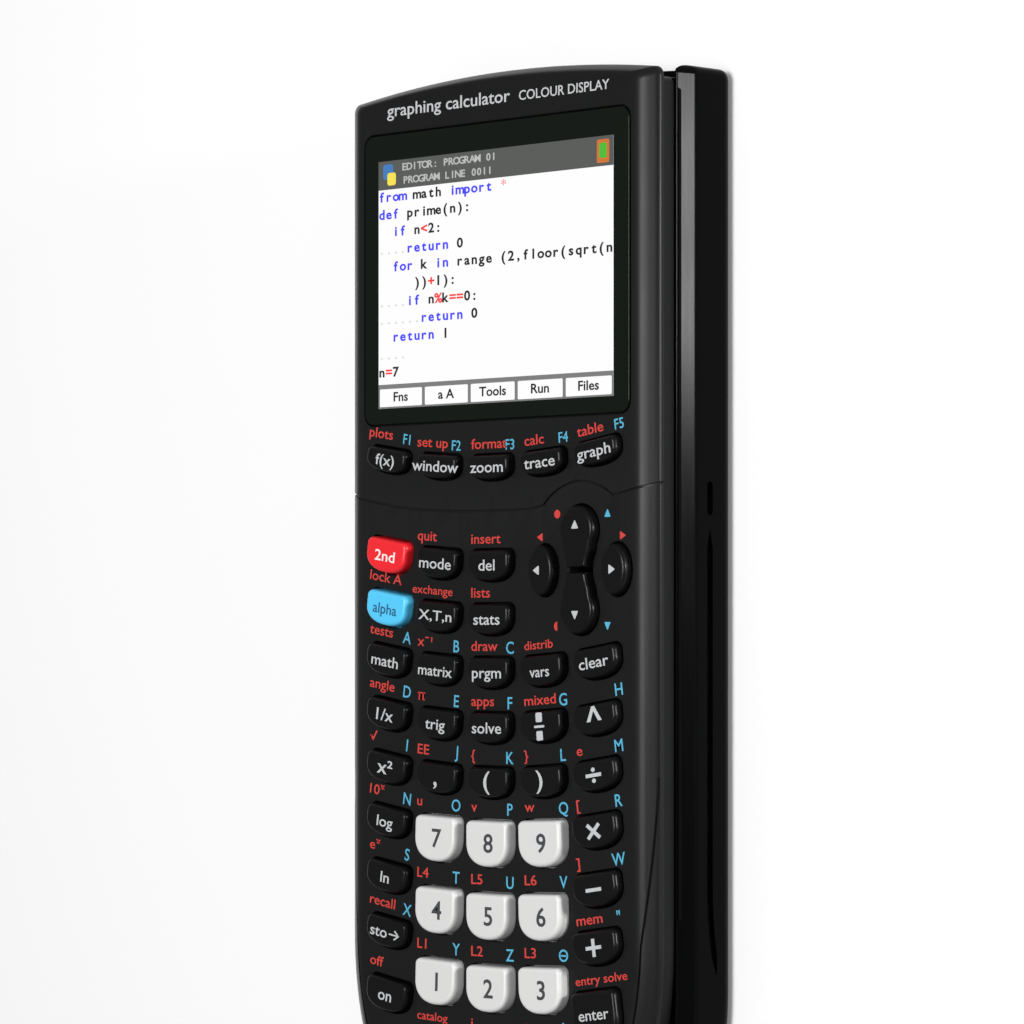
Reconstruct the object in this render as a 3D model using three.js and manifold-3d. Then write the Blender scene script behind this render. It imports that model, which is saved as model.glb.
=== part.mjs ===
// A handheld graphing calculator with its hard slide cover stored on its back, in millimetres.
// It lies on its back: +Z points out of the keys and the display, +Y to the display end, +X to the right.
// The origin is under the middle of the calculator, on the surface that the slide cover lies on.
import * as THREE from "three";
import { mergeVertices } from "three/addons/utils/BufferGeometryUtils.js";
import Module from "manifold-3d";

const wasm = await Module();
wasm.setup();

// ---- Driving dimensions ----
const halfWidth = 37.5; // half of the case's width
const halfLength = 95.6; // half of the case's length
const faceZ = 19.5; // height of the flat front face
const caseBackZ = 4.3; // height of the case's own back, above the slide cover's floor
const partingZ = 16.1; // where the rear case ends and the front case begins
const gap = 0.3; // clearance between pieces that touch or slide
const plate = 2; // thickness of the front face, which guides the keys
const wall = 1.6; // thickness of the cases' walls and of the rear case's floor
const sideStep = 1.5; // how far the rear case steps in, to make room for the slide cover's walls

// ---- The case's outline ----
const topArch = 264; // radius of the arched display end
const coverArch = 380; // radius of the slide cover's flatter end
const topCorner = 1.6; // radius of the corners at the display end
const bowlStart = -52; // where the straight sides end and the rounded lower end begins
const bowlPower = 2.25; // 2 is an ellipse; higher is squarer
const archSteps = 8;
const cornerSteps = 2;
const bowlSteps = 20;

// Points of the outline, counter-clockwise, drawn in by an amount at the sides, the top and the bottom.
function caseOutline(drawn) {
  const { side = 0, top = side, bottom = side, arch = topArch } = drawn;
  const { topY = halfLength, bottomY = -halfLength, bowlFrom = bowlStart } = drawn;
  const w = halfWidth - side;
  const crown = topY - top;
  const archAt = (x) => crown - (x * x) / (2 * arch);
  const straight = w - topCorner;
  const cornerY = archAt(straight) - topCorner;
  const points = [];
  const addCorner = (centreX, start) => {
    for (let i = 0; i <= cornerSteps; i++) {
      const turn = start + (i / cornerSteps) * (Math.PI / 2);
      points.push([centreX + topCorner * Math.cos(turn), cornerY + topCorner * Math.sin(turn)]);
    }
  };
  addCorner(straight, 0);
  for (let i = 1; i < archSteps; i++) {
    const x = straight * (1 - (2 * i) / archSteps);
    points.push([x, archAt(x)]);
  }
  addCorner(-straight, Math.PI / 2);
  const depth = bowlFrom - (bottomY + bottom);
  for (let i = 0; i <= bowlSteps; i++) {
    const turn = (i / bowlSteps) * Math.PI;
    const c = Math.cos(turn);
    const x = -w * Math.sign(c) * Math.abs(c) ** (2 / bowlPower);
    points.push([x, bowlFrom - depth * Math.sin(turn) ** (2 / bowlPower)]);
  }
  return points.map(([x, y]) => new THREE.Vector2(x, y));
}

// ---- Solids ----
// A closed body through rings of points, from the lowest up. All rings have the same number of points.
function loft(rings) {
  const count = rings[0].points.length;
  const positions = rings.flatMap((ring) => ring.points.flatMap((p) => [p.x, p.y, ring.z]));
  const index = [];
  for (let level = 0; level + 1 < rings.length; level++) {
    for (let i = 0; i < count; i++) {
      const a = level * count + i;
      const b = level * count + ((i + 1) % count);
      index.push(a, b, b + count, a, b + count, a + count);
    }
  }
  const lastRing = (rings.length - 1) * count;
  for (const [a, b, c] of THREE.ShapeUtils.triangulateShape(rings[0].points, [])) index.push(a, c, b);
  for (const [a, b, c] of THREE.ShapeUtils.triangulateShape(rings.at(-1).points, [])) {
    index.push(lastRing + a, lastRing + b, lastRing + c);
  }
  const geometry = new THREE.BufferGeometry();
  geometry.setAttribute("position", new THREE.Float32BufferAttribute(positions, 3));
  geometry.setIndex(index);
  return geometry;
}

function solid(geometry) {
  const bare = geometry.clone();
  bare.deleteAttribute("normal");
  bare.deleteAttribute("uv");
  const merged = mergeVertices(bare, 1e-4);
  return new wasm.Manifold(
    new wasm.Mesh({
      numProp: 3,
      vertProperties: merged.attributes.position.array,
      triVerts: new Uint32Array(merged.index.array),
    }),
  );
}

function geometryOf(manifold) {
  const { vertProperties, triVerts } = manifold.getMesh();
  const geometry = new THREE.BufferGeometry();
  geometry.setAttribute("position", new THREE.BufferAttribute(vertProperties, 3));
  geometry.setIndex(new THREE.BufferAttribute(triVerts, 1));
  return geometry;
}

function block(x, y, z, [sizeX, sizeY, sizeZ]) {
  return solid(new THREE.BoxGeometry(sizeX, sizeY, sizeZ).translate(x, y, z));
}

function post(x, y, lowZ, highZ, radius, lowRadius = radius, sides = 12) {
  const cylinder = new THREE.CylinderGeometry(radius, lowRadius, highZ - lowZ, sides);
  return solid(cylinder.rotateX(Math.PI / 2).translate(x, y, (lowZ + highZ) / 2));
}

function roundedPlate(width, height, corner, lowZ, highZ, centreY) {
  const x = width / 2;
  const y = height / 2;
  const shape = new THREE.Shape();
  shape.moveTo(-x + corner, -y);
  shape.lineTo(x - corner, -y);
  shape.quadraticCurveTo(x, -y, x, -y + corner);
  shape.lineTo(x, y - corner);
  shape.quadraticCurveTo(x, y, x - corner, y);
  shape.lineTo(-x + corner, y);
  shape.quadraticCurveTo(-x, y, -x, y - corner);
  shape.lineTo(-x, -y + corner);
  shape.quadraticCurveTo(-x, -y, -x + corner, -y);
  const depth = highZ - lowZ;
  const extruded = new THREE.ExtrudeGeometry(shape, { depth, bevelEnabled: false, curveSegments: 3 });
  return solid(extruded.translate(0, centreY, lowZ));
}

// ---- Keys ----
const columnPitch = 12.8;
const rowArc = 172; // radius of the arcs that the key rows lie on
const keyClearance = 0.25; // between a key and its hole
const flangeReach = 0.6; // how far a key's flange reaches under the front face
const flange = 1;
const flangeTopZ = faceZ - plate - gap;
const digitRise = 1.8; // how far the digit keys stand above the face
const keyRise = 1.5;

// The row heights of the two outer columns and of the three inner ones, in the middle of their arcs.
const outerRows = [-7, -16.4, -25.7, -35, -44.7, -54.3];
const innerRows = [-7, -16.4, -25.7, -36.1, -48.5, -60.8, -73.1];

const small = { width: 10.2, height: 4.3, bowl: 2.2, material: "keyBlack", rise: keyRise };
const black = { width: 10.4, height: 5.3, bowl: 3, material: "keyBlack", rise: keyRise };
const operator = { width: 10.6, height: 5.8, bowl: 3.3, material: "keyBlack", rise: keyRise };
const digit = { width: 10.4, height: 8, bowl: 4.3, material: "keyWhite", rise: digitRise };
const enter = { width: 10.6, height: 9, bowl: 4.5, material: "keyBlack", rise: keyRise };
const red = { width: 10.4, height: 6, bowl: 3.3, material: "keyRed", rise: keyRise };
const blue = { ...red, material: "keyBlue" };

const keys = [];

// A key in a column from -2 to 2, on the arc of its row. turnShare is the part of the arc's slope it takes.
function addKey(name, column, rowY, kind, turnShare = 1) {
  const x = column * columnPitch;
  const y = rowY + (x * x) / (2 * rowArc);
  keys.push({ name, x, y, turn: (turnShare * x) / rowArc, outline: keyOutline, domeAt: 0, ...kind });
}

["function", "window", "zoom", "trace", "graph"].forEach((word, i) => {
  addKey(`key_${word}`, i - 2, 28, small);
});
addKey("key_second", -2, 11.3, red);
addKey("key_mode", -1, 11.3, black);
addKey("key_delete", 0, 11.3, black);
addKey("key_alpha", -2, 2.1, blue);
addKey("key_variable", -1, 2.1, black);
addKey("key_statistics", 0, 2.1, black);
[
  ["math", "matrix", "program", "variables", "clear"],
  ["inverse", "trig", "solve", "fraction", "power"],
  ["square", "comma", "left_bracket", "right_bracket", "divide"],
].forEach((row, r) => row.forEach((word, i) => addKey(`key_${word}`, i - 2, outerRows[r], black)));
["log", "ln", "store"].forEach((word, r) => addKey(`key_${word}`, -2, outerRows[r + 3], black));
["multiply", "subtract", "add"].forEach((word, r) => addKey(`key_${word}`, 2, outerRows[r + 3], operator));
[
  ["7", "8", "9"],
  ["4", "5", "6"],
  ["1", "2", "3"],
  ["0", "point", "negate"],
].forEach((row, r) => row.forEach((word, i) => addKey(`key_${word}`, i - 1, innerRows[r + 3], digit, 0.5)));
addKey("key_on", -2, -65.2, operator);
addKey("key_enter", 2, -65.9, enter);

// A key's outline: a flat top with small corners, straight sides and a bowl-shaped lower edge.
function keyOutline(grow, { width, height, bowl }) {
  const w = width / 2 + grow;
  const top = height / 2 + grow;
  const shoulder = -height / 2 + bowl;
  const corner = 1 + grow * 0.5;
  const points = [];
  const bowlPoints = 6;
  for (let i = 0; i <= bowlPoints; i++) {
    const turn = Math.PI * (1 + i / bowlPoints);
    points.push([w * Math.cos(turn), shoulder + (bowl + grow) * Math.sin(turn)]);
  }
  points.push([w, top - corner], [w - corner, top], [-w + corner, top], [-w, top - corner]);
  return points.map(([x, y]) => new THREE.Vector2(x, y));
}

// The cursor pad: two oval keys in the waists of an hourglass that is split into an upper and a lower key.
const pad = {
  x: 21.2,
  y: 10.3,
  sideAt: 8.55,
  sideWidth: 3.1,
  sideHeight: 4.3,
  lobeAt: 6.7,
  lobeRadius: 4.1,
  waistCut: 6.1,
  split: 0.3,
};

function ovalOutline(grow) {
  const points = [];
  const sides = 14;
  for (let i = 0; i < sides; i++) {
    const turn = (i / sides) * 2 * Math.PI;
    const x = (pad.sideWidth + grow) * Math.cos(turn);
    points.push(new THREE.Vector2(x, (pad.sideHeight + grow) * Math.sin(turn)));
  }
  return points;
}

// Half of the hourglass, its lobe up, about the pad's middle. The two halves' holes meet at the waist.
function lobeOutline(grow) {
  const cut = pad.waistCut - grow;
  const low = grow === keyClearance ? -0.1 : pad.split - Math.min(grow, 0.2);
  const radius = pad.lobeRadius + grow;
  const points = [];
  const lobePoints = 9;
  for (let i = 0; i <= lobePoints; i++) {
    const turn = -0.55 + (i / lobePoints) * (Math.PI + 1.1);
    points.push([radius * Math.cos(turn), pad.lobeAt + radius * Math.sin(turn)]);
  }
  const waist = (y) => pad.sideAt - Math.sqrt(cut * cut - y * y);
  const levels = [3, 1.6, low];
  levels.forEach((y) => points.push([-waist(y), y]));
  [...levels].reverse().forEach((y) => points.push([waist(y), y]));
  return points.map(([x, y]) => new THREE.Vector2(x, y));
}

const ovalKey = { outline: ovalOutline, domeAt: 0, turn: 0, rise: keyRise, material: "keyBlack" };
const lobeKey = { ...ovalKey, outline: lobeOutline, domeAt: pad.lobeAt };
keys.push(
  { name: "key_left", x: pad.x - pad.sideAt, y: pad.y, ...ovalKey },
  { name: "key_right", x: pad.x + pad.sideAt, y: pad.y, ...ovalKey },
  { name: "key_up", x: pad.x, y: pad.y, ...lobeKey },
  { name: "key_down", x: pad.x, y: pad.y, ...lobeKey, turn: Math.PI },
);

function keyBody(key) {
  const top = faceZ + key.rise;
  return loft([
    { points: key.outline(flangeReach, key), z: flangeTopZ - flange },
    { points: key.outline(flangeReach, key), z: flangeTopZ },
    { points: key.outline(0, key), z: flangeTopZ },
    { points: key.outline(-0.15, key), z: top - 0.5 },
    { points: key.outline(-0.6, key), z: top },
  ]);
}

function keyHole(key) {
  const points = key.outline(keyClearance, key);
  const hole = loft([{ points, z: partingZ }, { points, z: faceZ + 1 }]);
  return solid(hole.rotateZ(key.turn).translate(key.x, key.y, 0));
}

// ---- Display ----
const display = { x: 57.6, y: 43.2, centreY: 60.6 }; // the lit area
const windowPlate = { width: 64.8, height: 50.5, centreY: 61.5, corner: 2, thickness: 1.2 };

function displayWindow() {
  const { width, height, corner, thickness, centreY } = windowPlate;
  return geometryOf(roundedPlate(width, height, corner, faceZ - thickness, faceZ, centreY));
}

function displayModule() {
  const top = faceZ - plate - gap;
  const centreY = display.centreY - 0.6;
  const frame = roundedPlate(display.x + 6, display.y + 5.4, 1, top - 3.2, top, centreY);
  return geometryOf(frame);
}

// ---- Screw bosses, shared by the two cases and the board ----
const bossRadius = 1.8;
const bossHole = bossRadius + 0.5; // in the board and the key mat, around a boss
const bosses = [
  [28, 87.8],
  [32.2, 21.5],
  [17, -84.5],
].flatMap(([x, y]) => [
  [x, y],
  [-x, y],
]);
const boardZ = 11;
const boardThickness = 1.2;

// ---- USB socket ----
const usb = { x: 20, mouthY: 92.4, depth: 7.5, width: 7.7, height: 3.9 };
const usbZ = boardZ + boardThickness + gap + usb.height / 2;
const usbCutout = () => block(usb.x, usb.mouthY + 3, usbZ, [usb.width + 1, 14, usb.height + 1]);

function usbSocket() {
  const skin = 0.35;
  const shell = block(usb.x, usb.mouthY - usb.depth / 2, usbZ, [usb.width, usb.depth, usb.height]);
  const mouth = block(usb.x, usb.mouthY - usb.depth / 2 + 1, usbZ, [
    usb.width - 2 * skin,
    usb.depth,
    usb.height - 2 * skin,
  ]);
  const tongue = block(usb.x, usb.mouthY - usb.depth / 2 - 0.6, usbZ, [usb.width - 3, usb.depth - 1.2, 0.9]);
  return geometryOf(shell.subtract(mouth).add(tongue));
}

// ---- Front case ----
const seam = { y: 20.4, archX: 21.3, archY: 12.6, archRadius: 12.5, width: 0.5, depth: 0.4 };

// The height on the face of the groove below the display, which arches over the cursor pad.
function seamAt(x) {
  const plain = seam.y + (x * x) / (2 * rowArc);
  const reach = seam.archRadius ** 2 - (x - seam.archX) ** 2;
  return reach > 0 ? Math.max(plain, seam.archY + Math.sqrt(reach)) : plain;
}

function seamGroove() {
  const along = [-39, -28, -14, 0, 11, 12.6, 15, 18, 21.3, 24.6, 28, 33, 39];
  const edge = (offset) => along.map((x) => new THREE.Vector2(x, seamAt(x) + offset));
  const points = [...edge(-seam.width / 2), ...edge(seam.width / 2).reverse()];
  const groove = loft([{ points, z: faceZ - seam.depth }, { points, z: faceZ + 1 }]);
  const notch = (side) => block(side * halfWidth, seamAt(halfWidth), faceZ - 1.2, [1, seam.width, 5]);
  return solid(groove).add(notch(-1)).add(notch(1));
}

function frontCase() {
  const bevel = [
    { points: caseOutline({}), z: partingZ + gap },
    { points: caseOutline({}), z: faceZ - 2.2 },
    { points: caseOutline({ side: 0.6, top: 0.25, bottom: 0.3 }), z: faceZ - 1.75 },
    { points: caseOutline({ side: 3.1, top: 1.2, bottom: 1.5 }), z: faceZ - 0.33 },
    { points: caseOutline({ side: 4.3, top: 1.7, bottom: 2.1 }), z: faceZ },
  ];
  const cavity = [
    { points: caseOutline({ side: wall }), z: partingZ - 1 },
    { points: caseOutline({ side: wall }), z: faceZ - plate },
  ];
  const { width, height, corner, thickness, centreY } = windowPlate;
  const seat = faceZ - thickness - gap;
  let body = solid(loft(bevel))
    .subtract(solid(loft(cavity)))
    .subtract(roundedPlate(width + 2 * gap, height + 2 * gap, corner, seat, faceZ + 1, centreY))
    .subtract(roundedPlate(display.x + 2.4, display.y + 2.4, 0.6, partingZ, faceZ, display.centreY))
    .subtract(usbCutout())
    .subtract(seamGroove());
  for (const key of keys) body = body.subtract(keyHole(key));
  const bossLow = boardZ + boardThickness + gap + 0.2;
  const bossTop = faceZ - plate;
  for (const [x, y] of bosses) {
    body = body.add(post(x, y, bossLow, bossTop + 0.2, bossRadius));
    body = body.subtract(post(x, y, bossLow - 1, bossTop - 0.5, 0.8, 0.8, 8));
  }
  return geometryOf(body);
}

// ---- Battery and its door ----
const battery = { width: 34, height: 54, thickness: 3.6, centreY: 45 };
const door = { width: 42, height: 62, centreY: 45 };
const doorScrewY = door.centreY - door.height / 2 + 5;

function batteryPack() {
  const { width, height, thickness, centreY } = battery;
  const low = caseBackZ + wall + gap;
  return geometryOf(roundedPlate(width, height, 1.5, low, low + thickness, centreY));
}

function batteryDoor() {
  const top = caseBackZ + wall;
  const width = door.width - 2 * gap;
  const panel = roundedPlate(width, door.height - 2 * gap, 2.5, caseBackZ, top - 0.1, door.centreY);
  const tabReach = 2.5;
  const tabY = door.centreY + door.height / 2 - gap - 0.8;
  let body = panel;
  for (const x of [-12, 12]) {
    body = body
      .add(block(x, tabY, top + 0.3, [6, 1.6, 1.6]))
      .add(block(x, tabY + tabReach / 2, top + gap + 0.45, [6, tabReach + 1.6, 0.7]));
  }
  return geometryOf(body.subtract(post(0, doorScrewY, caseBackZ - 1, top + 1, 1.2)));
}

// ---- Rear case ----
function rearCase() {
  const outer = [
    { points: caseOutline({ side: sideStep + 1.3 }), z: caseBackZ },
    { points: caseOutline({ side: sideStep + 0.4 }), z: caseBackZ + 0.6 },
    { points: caseOutline({ side: sideStep }), z: caseBackZ + 1.5 },
    { points: caseOutline({ side: sideStep }), z: partingZ },
  ];
  const inside = caseOutline({ side: sideStep + wall });
  const floorZ = caseBackZ + wall;
  let body = solid(loft(outer)).subtract(
    solid(
      loft([
        { points: inside, z: floorZ },
        { points: inside, z: partingZ + 1 },
      ]),
    ),
  );
  // The walls of the battery's compartment, the hole that the door closes, and a post under the door's screw.
  const ribTop = boardZ - gap;
  const rib = roundedPlate(door.width + 2.4, door.height + 2.4, 1.5, floorZ - 0.2, ribTop, door.centreY);
  const ribInside = roundedPlate(door.width, door.height, 1, floorZ - 1, ribTop + 1, door.centreY);
  body = body.add(rib.subtract(ribInside));
  body = body.subtract(roundedPlate(door.width, door.height, 2.5, caseBackZ - 1, floorZ + 0.1, door.centreY));
  for (const x of [-12, 12]) {
    const slotY = door.centreY + door.height / 2 + 0.8;
    body = body.subtract(block(x, slotY, floorZ + 0.8, [7, 5, 1.6]));
  }
  for (const [x, y] of bosses) body = body.add(post(x, y, floorZ - 0.2, ribTop, bossRadius + 1.1));
  for (const [x, y] of bosses) {
    body = body
      .subtract(post(x, y, caseBackZ - 1, ribTop + 1, 1.1, 1.1, 8))
      .subtract(post(x, y, caseBackZ - 1, caseBackZ + 2.2, 2.1));
  }
  // The grooves that the slide cover's lips run in, open at both ends.
  const grooveX = halfWidth - sideStep - 1 + 2;
  for (const side of [-1, 1]) body = body.subtract(block(side * grooveX, 15, lipZ, [4, 170, 2]));
  return geometryOf(body.subtract(usbCutout()));
}

// ---- Slide cover ----
const coverFloor = 1.9;
const coverBowlFrom = -60; // its lower end is squarer than the case's
const coverTopZ = 12.6;
const lipZ = 11.6;
const grip = {
  z: faceZ - 13.5,
  high: 25,
  low: -58,
  bridgeLow: 16.8,
  bridgeHigh: 19.3,
  width: 1.4,
  depth: 0.8,
};

function slideCover() {
  const outer = [
    [0, 2.2, 1.4],
    [0.2, 1.2, 0.8],
    [0.8, 0.3, 0.3],
    [1.7, -0.25, 0],
    [2.8, -0.5, 0],
    [9, -0.5, 0],
    [9.9, -0.3, 0],
    [coverTopZ, 0.8, 0],
  ].map(([z, side, top]) => {
    const bottom = Math.max(side, 0);
    return { points: caseOutline({ side, top, bottom, arch: coverArch, bowlFrom: coverBowlFrom }), z };
  });
  const inset = sideStep - gap;
  const inner = [
    { points: caseOutline({ side: inset + 2.2, top: -12, bowlFrom: coverBowlFrom }), z: coverFloor },
    { points: caseOutline({ side: inset, top: -12, bowlFrom: coverBowlFrom }), z: coverFloor + 2.2 },
    { points: caseOutline({ side: inset, top: -12, bowlFrom: coverBowlFrom }), z: coverTopZ + 1 },
  ];
  let body = solid(loft(outer)).subtract(solid(loft(inner)));
  const lipInner = halfWidth - sideStep - 1 + gap;
  for (const side of [-1, 1]) {
    body = body.add(block(side * (lipInner + 0.8), 21, lipZ, [1.6, 138, 1.4]));
    const grooveX = side * (halfWidth + 0.5 - grip.depth + 2);
    const cut = (high, low) => block(grooveX, (high + low) / 2, grip.z, [4, high - low, grip.width]);
    body = body.subtract(cut(grip.high, grip.bridgeHigh)).subtract(cut(grip.bridgeLow, grip.low));
  }
  return geometryOf(body);
}

// ---- Circuit board and key mat ----
function circuitBoard() {
  const points = caseOutline({ side: 4.2, top: 9.4, bottom: 5 });
  let body = solid(
    loft([
      { points, z: boardZ },
      { points, z: boardZ + boardThickness },
    ]),
  );
  for (const [x, y] of bosses) body = body.subtract(post(x, y, boardZ - 1, partingZ, bossHole, bossHole, 8));
  return geometryOf(body);
}

const matZ = boardZ + boardThickness + gap;
const matThickness = 0.8;

// A silicone sheet with one dome under each key.
function keyMat() {
  const points = caseOutline({ side: 5.2, topY: 33.4, top: 0, bottomY: -80, bottom: 0 });
  let body = solid(
    loft([
      { points, z: matZ },
      { points, z: matZ + matThickness },
    ]),
  );
  const domeTop = flangeTopZ - flange - gap;
  for (const key of keys) {
    const x = key.x - key.domeAt * Math.sin(key.turn);
    const y = key.y + key.domeAt * Math.cos(key.turn);
    body = body.add(post(x, y, matZ + matThickness - 0.2, domeTop, 1.3, 2, 6));
  }
  for (const [x, y] of bosses) body = body.subtract(post(x, y, matZ - 1, partingZ, bossHole, bossHole, 8));
  return geometryOf(body);
}

// ---- Materials and assembly ----
function finish(color, roughness, metalness = 0) {
  return new THREE.MeshStandardMaterial({ color, roughness, metalness });
}

const materials = {
  case: finish(0x232425, 0.55),
  cover: finish(0x17181a, 0.25),
  window: finish(0x0b0f0d, 0.06),
  panel: finish(0xe8ecec, 0.3),
  board: finish(0x14502a, 0.5),
  silicone: finish(0xb9bdc0, 0.7),
  battery: finish(0x8f959b, 0.45),
  steel: finish(0xc4c7ca, 0.3, 0.9),
  keyBlack: finish(0x17181a, 0.45),
  keyWhite: finish(0xe4e4e4, 0.4),
  keyRed: finish(0xd8202c, 0.4),
  keyBlue: finish(0x52b8e0, 0.4),
};

const calculator = new THREE.Group();

function addPiece(name, geometry, material) {
  const mesh = new THREE.Mesh(geometry, materials[material]);
  mesh.name = name;
  calculator.add(mesh);
  return mesh;
}

addPiece("front_case", frontCase(), "case");
addPiece("rear_case", rearCase(), "case");
addPiece("slide_cover", slideCover(), "cover");
addPiece("display_window", displayWindow(), "window");
addPiece("display_module", displayModule(), "panel");
addPiece("circuit_board", circuitBoard(), "board");
addPiece("key_mat", keyMat(), "silicone");
addPiece("battery_pack", batteryPack(), "battery");
addPiece("battery_door", batteryDoor(), "case");
addPiece("usb_socket", usbSocket(), "steel");

for (const key of keys) {
  const mesh = addPiece(key.name, keyBody(key), key.material);
  mesh.position.set(key.x, key.y, 0);
  mesh.rotation.z = key.turn;
}

export default calculator;
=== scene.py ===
import math
import bpy
import bmesh
from mathutils import Matrix, Vector
from mathutils.geometry import delaunay_2d_cdt


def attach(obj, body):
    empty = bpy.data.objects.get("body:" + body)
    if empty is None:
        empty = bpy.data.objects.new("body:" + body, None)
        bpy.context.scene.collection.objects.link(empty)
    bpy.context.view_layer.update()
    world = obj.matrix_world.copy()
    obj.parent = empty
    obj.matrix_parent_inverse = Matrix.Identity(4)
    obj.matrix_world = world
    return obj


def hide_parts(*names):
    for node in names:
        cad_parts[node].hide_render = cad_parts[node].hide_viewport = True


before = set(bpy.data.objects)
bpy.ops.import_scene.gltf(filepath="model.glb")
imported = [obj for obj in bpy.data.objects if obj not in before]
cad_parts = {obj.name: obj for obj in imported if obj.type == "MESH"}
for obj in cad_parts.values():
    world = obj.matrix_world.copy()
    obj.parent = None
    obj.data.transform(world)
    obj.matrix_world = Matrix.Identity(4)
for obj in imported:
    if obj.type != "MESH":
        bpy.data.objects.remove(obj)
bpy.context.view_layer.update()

mm = 0.001
print("frame loaded:", len(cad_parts), "solids")


# Shader helpers.
class Value:  # a shader socket that can be used in sums
    def __init__(self, tree, socket):
        self.tree, self.socket = tree, socket

    def work(self, operation, first, second):
        node = self.tree.nodes.new("ShaderNodeMath")
        node.operation = operation
        for slot, item in zip(node.inputs, (first, second)):
            plug(self.tree, slot, item)
        return Value(self.tree, node.outputs[0])

    def __add__(self, other):
        return self.work("ADD", self, other)

    def __radd__(self, other):
        return self.work("ADD", other, self)

    def __sub__(self, other):
        return self.work("SUBTRACT", self, other)

    def __rsub__(self, other):
        return self.work("SUBTRACT", other, self)

    def __mul__(self, other):
        return self.work("MULTIPLY", self, other)

    def __rmul__(self, other):
        return self.work("MULTIPLY", other, self)

    def above(self, limit):
        return self.work("GREATER_THAN", self, limit)


def plug(tree, socket, item):
    if isinstance(item, Value):
        tree.links.new(item.socket, socket)
    elif isinstance(item, (tuple, list)) and len(item) == 3 and socket.type == "RGBA":
        socket.default_value = (*item, 1)
    else:
        socket.default_value = item


class Finish:  # a procedural material around one Principled shader
    def __init__(self, name, **constants):
        self.material = bpy.data.materials.new(name)
        self.material.use_nodes = True
        self.tree = self.material.node_tree
        self.shader = self.tree.nodes["Principled BSDF"]
        for socket, item in constants.items():
            plug(self.tree, self.shader.inputs[socket.replace("_", " ")], item)

    def node(self, kind, settings=None, output=0, **sockets):
        node = self.tree.nodes.new("ShaderNode" + kind)
        for key, item in (settings or {}).items():
            setattr(node, key, item)
        for key, item in sockets.items():
            target = node.inputs[int(key[1:])] if key[1:].isdigit() else node.inputs[key.replace("_", " ")]
            plug(self.tree, target, item)
        return Value(self.tree, node.outputs[output])

    def place(self):
        return self.node("TexCoord", output=3)

    def noise(self, scale, detail=2.0, vector=None):
        return self.node("TexNoise", Vector=vector or self.place(), Scale=scale, Detail=detail)

    def mixed(self, factor, first, second):
        return self.node("Mix", dict(data_type="RGBA"), output=2, _0=factor, _6=first, _7=second)

    def feed(self, **values):
        for socket, item in values.items():
            plug(self.tree, self.shader.inputs[socket.replace("_", " ")], item)
        return self

    def bump(self, height, distance, strength=0.5):
        normal = self.node("Bump", Height=height, Distance=distance, Strength=strength)
        return self.feed(Normal=normal)


def tint(colour, share):
    return tuple(min(1.0, part * share) for part in colour)


# Moulded plastic: fine spark-eroded grain, slightly mottled, a little paler along convex edges.
def mouldedPlastic(name, colour, roughness=0.42, grain=3200, depth=0.006, mottle=0.12, edgePaling=0.0, **constants):
    made = Finish(name, **constants)
    blotch = made.noise(60, 3)
    speck = made.noise(900, 2)
    colourMix = made.mixed(blotch * 0.7 + speck * 0.3, tint(colour, 1 - mottle), tint(colour, 1 + mottle))
    # Convex edges, found by pointiness, are tinted paler, up to 3.2 times the base colour.
    if edgePaling:
        edge = made.node("NewGeometry", output=7)
        edgePaled = made.node("MapRange", Value=edge, From_Min=0.52, From_Max=0.62, To_Min=0.0, To_Max=edgePaling)
        colourMix = made.mixed(edgePaled, colourMix, tint(colour, 3.2))
    made.feed(Base_Color=colourMix, Roughness=roughness - 0.05 + blotch * 0.1)
    return made.bump(made.noise(grain, 2), depth * mm, 0.6)


# Polished plastic with hairline scratches along its length.
def polishedPlastic(name, colour, roughness, scratch=0.06, **constants):
    made = Finish(name, **constants)
    stretched = made.node("Mapping", Vector=made.place(), Scale=(9.0, 0.35, 9.0))
    streak = made.noise(240, 4, stretched)
    smudge = made.noise(45, 3)
    made.feed(Base_Color=made.mixed(smudge, tint(colour, 0.85), tint(colour, 1.15)))
    made.feed(Roughness=roughness + streak * scratch + smudge * 0.05)
    return made.bump(made.noise(420, 2), 0.004 * mm, 0.35)


def ink(name, colour, roughness=0.5):
    made = Finish(name)
    patch = made.noise(1500, 3)
    made.feed(Base_Color=made.mixed(patch, tint(colour, 0.86), tint(colour, 1.08)))
    return made.feed(Roughness=roughness - 0.08 + patch * 0.16)


# What a lit display shows: the colour comes from behind, through a fine grid of cells.
def lit(name, colour, strength=1.0):
    made = Finish(name, Roughness=0.12, Base_Color=(0.004, 0.004, 0.004), Emission_Strength=strength)
    cells = made.node("TexChecker", Vector=made.place(), Scale=5555.0, output=1)
    return made.feed(Emission_Color=made.mixed(cells * 0.5, colour, tint(colour, 0.965)))


def metal(name, colour, roughness):
    made = Finish(name, Metallic=1.0)
    brushed = made.node("Mapping", Vector=made.place(), Scale=(1.0, 14.0, 14.0))
    streak = made.noise(900, 3, brushed)
    made.feed(Base_Color=made.mixed(streak, tint(colour, 0.82), colour), Roughness=roughness + streak * 0.18)
    return made.bump(streak, 0.003 * mm, 0.4)


def boardFinish():
    made = Finish("boardGreen", Roughness=0.35)
    tracks = made.node("TexBrick", dict(offset=0.35), 1, Vector=made.place(), Scale=420.0, Mortar_Size=0.018)
    islands = made.node("TexVoronoi", Vector=made.place(), Scale=260.0).above(0.62)
    copper = made.mixed(tracks * 0.6 + islands * 0.3, (0.012, 0.085, 0.03), (0.04, 0.2, 0.07))
    return made.feed(Base_Color=copper)


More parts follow.
